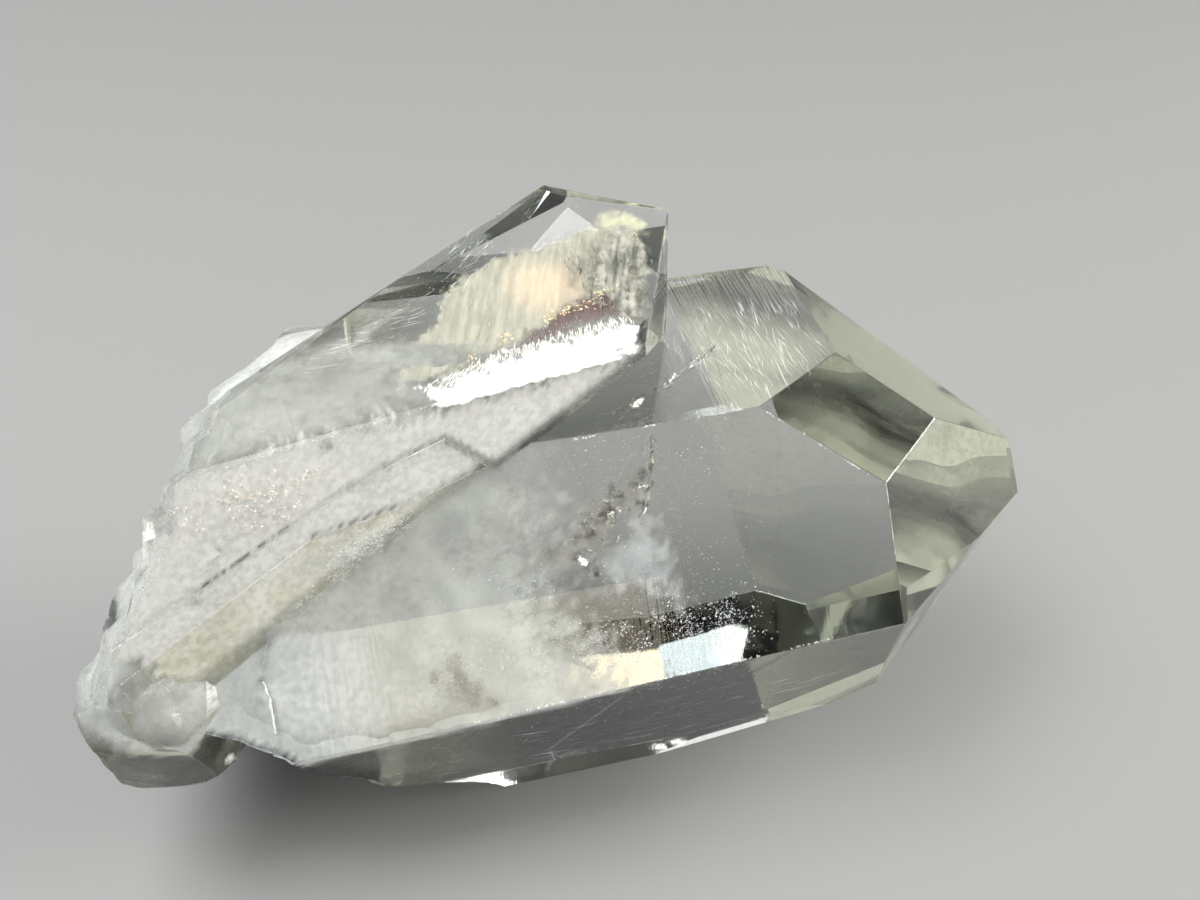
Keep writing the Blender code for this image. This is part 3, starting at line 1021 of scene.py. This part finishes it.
# %% Feather strokes


def make_flake(name, tint, dark_tint, roughness, metallic=0.0):
    """The finish of tiny solid flakes: two tones mixed by fine noise."""
    material, nodes, links, shader = new_material(name)
    tree = material.node_tree
    links.new(blend_colours(tree, cloud(tree, 900.0, 0.3, 0.7), tint, dark_tint), shader.inputs["Base Color"])
    shader.inputs["Roughness"].default_value = roughness
    shader.inputs["Metallic"].default_value = metallic
    return material


cream_stroke = make_flake("cream_strokes", (0.80, 0.77, 0.62), (0.46, 0.43, 0.32), 0.5)
# Painted shade: dark strokes for the dark that shows through the break's clear gaps.
painted_shade_stroke = make_flake("painted_shade_gaps", (0.15, 0.145, 0.12), (0.30, 0.28, 0.22), 0.6)
places = strokes_in(SMALL_UPPER, HATCH, 170, 1.35, (50.0, 68.0), (0.25, 0.9), (0.015, 0.04), 3)
scatter_shapes("feather_ridges", SPINDLE, places, cream_stroke)
GAPS = ((2.4, -2.6), (3.4, 2.6), (6.6, 2.9), (8.1, 0.8), (6.4, -2.6), (4.6, -4.2))
places = strokes_in(SMALL_UPPER, GAPS, 190, 1.1, (56.0, 72.0), (0.3, 0.9), (0.03, 0.09), 4)
scatter_shapes("feather_gaps_painted_shade", SPINDLE, places, painted_shade_stroke)
LOWER_GAPS = ((-7.6, -2.9), (-6.4, -2.2), (-3.2, -2.4), (-0.6, -2.2), (1.8, -3.0), (1.6, -3.8), (-3.6, -3.4),
              (-7.4, -3.5))
FRINGE = ((-9.4, -3.4), (-6.3, -3.2), (-4.3, -3.0), (-1.6, -3.3), (1.2, -3.6), (3.9, -4.0), (3.9, -4.9), (1.2, -4.6),
          (-1.6, -4.2), (-4.3, -4.0), (-9.2, -4.3))
# The fringe strokes give the painted reflection its fluffy edge.
painted_reflection_stroke = make_flake("painted_reflection_fringe_strokes", (0.98, 0.98, 0.95), (0.90, 0.88, 0.78), 0.45)
places = strokes_in(SMALL_UPPER, FRINGE, 520, 0.5, (30.0, 75.0), (0.2, 0.8), (0.025, 0.07), 8, 0.5)
scatter_shapes("snow_fringe_painted_reflection", SPINDLE, places, painted_reflection_stroke)
places = strokes_in(SMALL_UPPER, LOWER_GAPS, 170, 1.0, (50.0, 60.0), (0.2, 0.6), (0.03, 0.07), 5)
scatter_shapes("feather_roots_painted_shade", SPINDLE, places, painted_shade_stroke)

# %% [markdown]
# ## Film and glints
#
# Along the lower part of the break runs a film of air, so thin that it breaks light into brown and gold. The film
# itself is a smoky sheet. The gold is small metallic flakes gathered round the brightest spots. They lean every
# way, so that only some of them catch a lamp, as the real ones do.

# %% Gold film and glints
film = make_milk("smoky_film", (0.17, 0.12, 0.115), 0.9)
FILM = ((-4.4, -3.3), (-2.0, -2.1), (1.4, -1.2), (4.2, -0.9), (5.4, -2.8), (4.3, -4.4), (2.6, -3.3), (-0.1, -3.4),
        (-2.4, -3.7))
face_sheet("smoky_film_sheet", SMALL_UPPER, FILM, 1.15, film, relief=0.3, relief_size=1.2, pitch=0.2, softness=0.7)
gold = make_flake("gold_glints", (1.0, 0.68, 0.34), (1.0, 0.86, 0.62), 0.25, 0.4)
red = make_flake("red_glints", (1.0, 0.36, 0.26), (1.0, 0.66, 0.56), 0.25, 0.3)


def glints(name, face, spots, per_spot, spread, depth, sizes, seed, material):
    """Small bright flakes gathered round a few spots, leaning every way so that some catch a lamp."""
    rng = random.Random(seed)
    places = []
    for along, across in spots:
        for _ in range(per_spot):
            size = rng.uniform(*sizes)
            places.append(face_place(face, along + rng.gauss(0, spread), across + rng.gauss(0, spread),
                                     depth + rng.uniform(-0.2, 0.2), rng.uniform(0, math.tau),
                                     (size, size, size), rng.uniform(-0.7, 0.7)))
    scatter_shapes(name, FLAKE, places, material)


GOLD_SPOTS = ((-3.2, -2.3), (-2.9, -1.9), (-0.2, -1.8), (0.3, -1.7), (1.1, -1.9), (1.7, -1.9), (2.5, -2.0),
              (4.2, -0.9), (4.4, -1.3), (3.5, -1.7), (-5.5, -2.6))
glints("gold_glint_flakes", SMALL_UPPER, GOLD_SPOTS, 14, 0.22, 0.8, (0.06, 0.20), 11, gold)

# %% [markdown]
# ## Cracks in the large crystal
#
# A healed crack splits the middle of the large crystal. Where the air film is still open it mirrors like silver;
# elsewhere it is only a faint veil. The mirror is a metal whose opacity comes from ragged noise, so it breaks up
# into slivers, and the veils around it use the milk again.

# %% Crack materials


def make_crack_mirror():
    material, nodes, links, shader = new_material("silver_crack")
    tree = material.node_tree
    tone = blend_colours(tree, cloud(tree, 800.0), (0.95, 0.95, 0.93), (0.55, 0.55, 0.50))
    links.new(tone, shader.inputs["Base Color"])
    shader.inputs["Metallic"].default_value = 1.0
    shader.inputs["Roughness"].default_value = 0.18
    broken = cloud(tree, 1500.0, 0.46, 0.58, 6.0)
    links.new(math_node(tree, "MULTIPLY", broken, attribute_value(tree, "haze")), shader.inputs["Alpha"])
    bump(tree, shader, cloud(tree, 1600.0, 0.2, 0.8, 4.0), 0.5, 0.0001)
    return material


silver = make_crack_mirror()
veil = make_milk("pale_veil", (0.88, 0.90, 0.90), 0.32)
rusty_veil = make_milk("brown_veil", (0.55, 0.47, 0.38), 0.45)

# %% Crack sheets


def standing_ribbon(name, face, path, depths, material, ragged=0.25):
    """A crack that stands on edge under a face: a strip that follows a path and goes down between two depths."""
    steps, levels = 14 * (len(path) - 1), 8
    bpy.ops.object.select_all(action="DESELECT")
    bpy.ops.mesh.primitive_grid_add(x_subdivisions=steps, y_subdivisions=levels, size=2.0)
    ribbon = bpy.context.active_object
    ribbon.name = ribbon.data.name = name
    shares = {}
    for vert in ribbon.data.vertices:
        share, level = (vert.co.x + 1.0) / 2.0, (vert.co.y + 1.0) / 2.0
        leg = min(int(share * (len(path) - 1)), len(path) - 2)
        spot = Vector(path[leg]).lerp(Vector(path[leg + 1]), share * (len(path) - 1) - leg)
        spot += Vector((noise.noise(Vector((9.0 * share, 4.0 * level, 1.7))),
                        noise.noise(Vector((9.0 * share, 4.0 * level, 5.2))))) * ragged
        shares[vert.index] = smooth(0.0, 0.12, share) * smooth(0.0, 0.12, 1.0 - share)
        vert.co = face.spot(spot.x, spot.y, depths[0] + (depths[1] - depths[0]) * level) * MM
    store(ribbon, "haze", [shares[vert.index] for vert in ribbon.data.vertices])
    solid = ribbon.modifiers.new("thickness", "SOLIDIFY")
    solid.thickness = 0.03 * MM
    solid.offset = 0.0
    apply_modifiers(ribbon)
    only(ribbon)
    bpy.ops.object.shade_smooth()
    return carry(ribbon, material)


STREAK = ((0.95, 5.8), (0.8, 4.9), (0.5, 3.7), (0.2, 2.6), (-0.3, 1.6), (-0.7, 0.9))
standing_ribbon("silver_streak", LARGE_FRONT, STREAK, (2.6, 3.9), silver, 0.3)
CRACK = ((-8.0, -0.6), (-5.3, 0.9), (-2.7, 2.9), (-0.2, 4.1), (1.0, 5.5), (0.4, 2.2), (-1.5, 1.2), (-3.1, 0.1),
         (-3.3, -1.9), (-5.4, -0.7))
face_sheet("silver_crack_sheet", LARGE_FRONT, CRACK, 3.4, silver, relief=0.7, relief_size=2.2, pitch=0.16,
           softness=1.0, ragged=0.9, tilt=(0.1, 0.6), seed=2.0)
face_sheet("brown_crack_veil", LARGE_FRONT, CRACK, 4.2, rusty_veil, relief=1.0, relief_size=2.0, softness=1.2,
           ragged=0.8, tilt=(0.0, 0.7), seed=5.0)
VEIL = ((-0.2, 3.0), (0.8, 1.0), (1.3, -1.4), (2.0, -4.4), (1.0, -4.2), (-1.2, -3.2), (-4.5, -2.6), (-8.0, 0.2),
        (-5.4, 0.4), (-2.0, 0.6))
face_sheet("pale_veil_sheet", LARGE_FRONT, VEIL, 3.8, veil, relief=1.2, relief_size=2.4, softness=1.4, ragged=1.0,
           tilt=(-0.3, 0.3), seed=7.0)
CURL = ((-13.6, -4.2), (-12.2, -4.4), (-11.0, -5.8), (-9.8, -7.6), (-11.4, -7.2), (-12.9, -6.4))
grey_feather = make_milk("grey_feather", (0.26, 0.26, 0.23), 0.65, 0.1)
face_sheet("feather_crack", LARGE_FRONT, CURL, 0.45, grey_feather, relief=0.3, relief_size=0.7, pitch=0.14,
           softness=0.7, ragged=1.1, seed=9.0)
BASE_LINE = ((-22.6, -3.8), (-22.4, -4.9), (-22.4, -6.8))
standing_ribbon("white_crack_line", LARGE_FRONT, BASE_LINE, (0.12, 0.3), snow_and_reflection, 0.12)
TOP_CRACK = ((0.4, -4.8), (2.0, -3.9), (4.0, -2.2), (6.0, -0.2), (7.4, 1.2), (6.9, 0.2), (4.6, -2.4), (2.4, -4.6))
TOP_EDGE = ((-1.2, -6.1), (1.3, -4.8), (4.4, -2.2), (6.4, -0.3))
standing_ribbon("top_crack_edge", LARGE_TOP, TOP_EDGE, (0.2, 1.3), silver, 0.5)
face_sheet("top_crack", LARGE_TOP, TOP_CRACK, 0.9, veil, relief=0.5, relief_size=1.0, pitch=0.16, softness=0.4,
           ragged=0.4, tilt=(0.2, 0.5), seed=4.0)
glints("red_glint_flakes", LARGE_FRONT, ((-8.2, 4.4), (-8.4, 4.2), (-7.8, 4.1), (-9.3, 4.4), (-6.2, 2.6)), 7, 0.25,
       2.0, (0.05, 0.13), 21, red)

# %% [markdown]
# ## Scratches and growth lines
#
# A quartz prism carries fine lines across its length, one for each pause in its growth, and old scratches catch
# the light like threads. Both are very thin white ridges laid flush with a face; on the growth lines the white is
# a painted sheen. They reuse the spindle of the feather strokes, drawn out until it is a hundred times as long as
# it is wide.

# %% Scratches and growth lines
# White for scratches, and painted sheen where the same ridges stand for growth lines.
line_white_and_sheen = make_flake("scratches_and_painted_sheen", (0.93, 0.94, 0.94), (0.78, 0.80, 0.80), 0.4)
# Growth lines on the top face: their white is a painted sheen.
TOP_FIELD = ((3.2, 1.0), (6.6, 4.5), (12.4, 3.5), (12.4, -3.6), (7.2, -7.2), (4.4, -4.8))
places = strokes_in(LARGE_TOP, TOP_FIELD, 210, 0.16, (89.0, 91.0), (0.5, 2.6), (0.010, 0.024), 51, 0.0)
scatter_shapes("top_growth_line_sheen", SPINDLE, places, line_white_and_sheen)
LOW_FIELD = ((-9.0, -3.0), (-9.0, 4.0), (9.0, 4.0), (11.0, -2.0))
places = strokes_in(LARGE_FRONT_LOW, LOW_FIELD, 70, 0.16, (-6.0, 5.0), (0.6, 3.6), (0.010, 0.022), 53, 0.0)
scatter_shapes("low_face_scratches", SPINDLE, places, line_white_and_sheen)
UPPER_FIELD = ((-14.0, 2.0), (-6.0, 3.0), (-1.0, 6.6), (2.0, 7.0), (0.0, 3.6), (-5.0, 1.5), (-9.8, 0.2),
               (-15.0, -1.0))
places = strokes_in(SMALL_UPPER, UPPER_FIELD, 90, 0.35, (-30.0, 40.0), (0.3, 1.9), (0.010, 0.030), 55, 0.1)
scatter_shapes("upper_face_scratches", SPINDLE, places, line_white_and_sheen)

# %% [markdown]
# ## Chipped edges
#
# Quartz is hard but brittle, and its sharp edges carry tiny bruises. Each is a white flake just under the surface.
# They come in clumps, so noise along the edge decides where they may be, and most of them are very small.

# %% Chipped edges
chip_white = make_flake("edge_chips", (0.97, 0.97, 0.95), (0.85, 0.86, 0.84), 0.35)


def edge_chips(name, face, start, end, count, seed):
    """Tiny bruises along a sharp edge, in clumps, just under the surface."""
    rng = random.Random(seed)
    places = []
    while len(places) < count:
        share = rng.random()
        spot = Vector(start).lerp(Vector(end), share)
        if smooth(-0.3, 0.5, noise.fractal(Vector((9.0 * share, seed, 0.5)), 0.8, 2.1, 3)) < rng.random():
            continue
        size = 0.03 + 0.10 * rng.random() ** 3
        place = face_place(face, spot.x, spot.y + rng.gauss(0, 0.03), 0.05 + size / 3, rng.uniform(0, math.tau),
                           (size, size, size), rng.uniform(-0.8, 0.8))
        if depth_inside(place.translation) > 0.01:
            places.append(place)
    scatter_shapes(name, FLAKE, places, chip_white)


edge_chips("front_edge_chips", LARGE_FRONT, (-12.0, -8.15), (12.8, -6.95), 260, 61)
edge_chips("top_edge_chips", LARGE_FRONT, (-6.5, 6.35), (6.6, 6.65), 120, 62)
edge_chips("tip_edge_chips", LARGE_FRONT, (6.7, 6.6), (13.3, 1.2), 80, 63)
edge_chips("ridge_chips", SMALL_FRONT, (-20.5, 7.3), (3.0, -2.0), 200, 64)

# %% [markdown]
# ## Specks
#
# The clear middle is sprinkled with bubbles and dust that glitter in the light. Each is a four-sided flake, a few
# hundredths of a millimetre across. They follow the cloudiness, and gather in drifts that noise decides.

# %% Specks
speck_white = make_flake("bubble_specks", (0.97, 0.97, 0.96), (0.82, 0.86, 0.90), 0.35)


def drift_flakes(name, count, low, high, density, sizes, seed, material):
    """Flakes at random places of a box, in millimetres, where density beats a throw of the dice."""
    rng = random.Random(seed)
    places = []
    while len(places) < count:
        spot = Vector([rng.uniform(a, b) for a, b in zip(low, high)])
        if density(spot) < rng.random() or depth_inside(spot) < 0.25:
            continue
        angle, axis = rng.uniform(0, math.tau), Vector([rng.gauss(0, 1) for _ in range(3)])
        turn = Matrix.Rotation(angle, 4, axis)
        size = rng.uniform(*sizes)
        places.append(Matrix.Translation(spot) @ turn @ Matrix.Diagonal((size, size, size, 1.0)))
    scatter_shapes(name, FLAKE, places, material)


def speck_density(spot):
    """Drifts of specks through the middle of the large crystal."""
    along = (LARGE_INVERSE @ spot).z
    middle = smooth(-16.0, -6.0, along) * (1.0 - smooth(3.0, 9.0, along))
    return middle * smooth(-0.1, 0.5, wisps(spot, 0.45)) + 0.25 * milkiness(spot)


drift_flakes("bubble_speck_flakes", 7000, (-20, -14, 1), (14, 14, 30), speck_density, (0.02, 0.09), 31, speck_white)


def sheet_specks(name, face, outline, count, depth, sizes, seed, material, clumps=1.1):
    """Flakes under a face, inside an outline, in clumps. Most are small."""
    rng = random.Random(seed)
    inside = outline_fade(face, outline, 1.6, 0.9, seed)
    xs, ys = [c[0] for c in outline], [c[1] for c in outline]
    places = []
    while len(places) < count:
        along, across = rng.uniform(min(xs), max(xs)), rng.uniform(min(ys), max(ys))
        spot = face.spot(along, across)
        if inside(spot) * smooth(-0.45, 0.35, wisps(spot, clumps)) < rng.random():
            continue
        size = sizes[0] + (sizes[1] - sizes[0]) * rng.random() ** 3
        places.append(face_place(face, along, across, rng.uniform(*depth), rng.uniform(0, math.tau),
                                 (size, size, size), rng.uniform(-0.8, 0.8)))
    scatter_shapes(name, FLAKE, places, material)


LOWER_BAND = ((-8.2, -5.0), (-6.1, -4.4), (-2.5, -3.6), (2.2, -3.4), (5.5, -3.2), (6.0, -6.6), (-2.0, -7.4),
              (-8.0, -7.6))
sheet_specks("lower_band_specks", LARGE_FRONT, LOWER_BAND, 2400, (0.4, 5.0), (0.02, 0.12), 41, speck_white)
FRONT_FROST = ((-17.0, -7.8), (-2.0, -7.6), (-3.0, -4.0), (-5.0, -1.0), (-6.5, 3.0), (-12.0, 2.0))
sheet_specks("front_milk_specks", LARGE_FRONT, FRONT_FROST, 2600, (0.08, 0.6), (0.015, 0.07), 47, speck_white, 0.6)
SUGAR = ((-21.1, -2.7), (-18.7, -0.8), (-15.3, -0.5), (-11.7, -2.1), (-11.8, -3.4), (-16.8, -4.0), (-20.8, -4.1))
sheet_specks("sugary_patch", SMALL_FRONT, SUGAR, 6500, (0.05, 0.30), (0.015, 0.07), 43, speck_white, 0.2)
# Painted glints: pale peach flakes whose colour stands in for warm lamp light glinting off the front face.
ROSE = ((-22.2, 7.0), (-18.4, 6.0), (-14.6, 3.4), (-17.6, 0.8), (-22.9, 4.2))
painted_rose_glint = make_flake("painted_rose_glints", (1.0, 0.80, 0.66), (1.0, 0.95, 0.90), 0.3)
sheet_specks("painted_rose_glint_flakes", SMALL_FRONT, ROSE, 520, (0.05, 0.28), (0.04, 0.20), 45, painted_rose_glint, 0.3)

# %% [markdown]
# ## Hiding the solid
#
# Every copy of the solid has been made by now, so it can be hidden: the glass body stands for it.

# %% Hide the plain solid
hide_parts("quartz_crystal")
